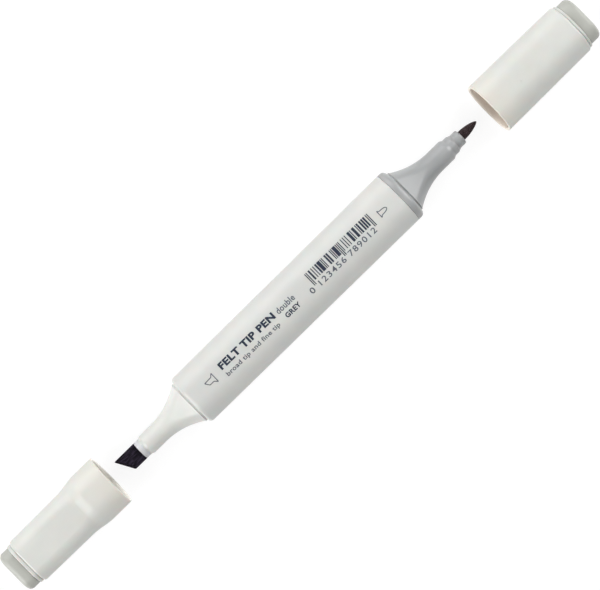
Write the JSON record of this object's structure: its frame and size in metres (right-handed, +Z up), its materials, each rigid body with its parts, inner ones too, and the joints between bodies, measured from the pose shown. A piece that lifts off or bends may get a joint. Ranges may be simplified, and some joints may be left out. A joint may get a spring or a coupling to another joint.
{
  "type": "felt tip marker",
  "caption": "Double-ended felt tip marker with a broad chisel tip, a fine bullet tip and a push-on cap for each, shown with both caps drawn off along its axis.",
  "frame": {"origin": "on the surface that the marker rests on, under the middle of its barrel", "axes": "+X along the marker towards its fine tip, +Y across its wide side, +Z up through its narrow side"},
  "size_m": [0.2146, 0.0162, 0.0142],
  "materials": {
    "off_white_plastic": "satin",
    "grey_plastic": "satin",
    "plug_grey_plastic": "satin",
    "milky_plastic": "translucent satin",
    "liner_plastic": "natural, satin",
    "inked_felt": "pressed felt soaked with dark ink",
    "ink_fibre": "bundled fibre soaked with dark ink",
    "clear_film": "clear film"
  },
  "bodies": {
    "pen": {"barrel": "off_white_plastic", "broad_nose": "off_white_plastic", "fine_nose": "grey_plastic", "broad_tip_sleeve": "milky_plastic", "fine_tip_sleeve": "grey_plastic", "broad_tip": "inked_felt", "fine_tip": "inked_felt", "ink_reservoir": "ink_fibre", "reservoir_film": "clear_film"},
    "broad_cap": {"broad_cap_shell": "off_white_plastic", "broad_cap_liner": "liner_plastic", "broad_cap_plug": "plug_grey_plastic"},
    "fine_cap": {"fine_cap_shell": "off_white_plastic", "fine_cap_liner": "liner_plastic", "fine_cap_plug": "plug_grey_plastic"}
  },
  "joints": [
    {"name": "broad_cap_slide", "type": "slide", "parent": "pen", "child": "broad_cap", "axis": [1, 0, 0], "range_m": [0, 0.0298]},
    {"name": "fine_cap_slide", "type": "slide", "parent": "pen", "child": "fine_cap", "axis": [-1, 0, 0], "range_m": [0, 0.0323]}
  ]
}
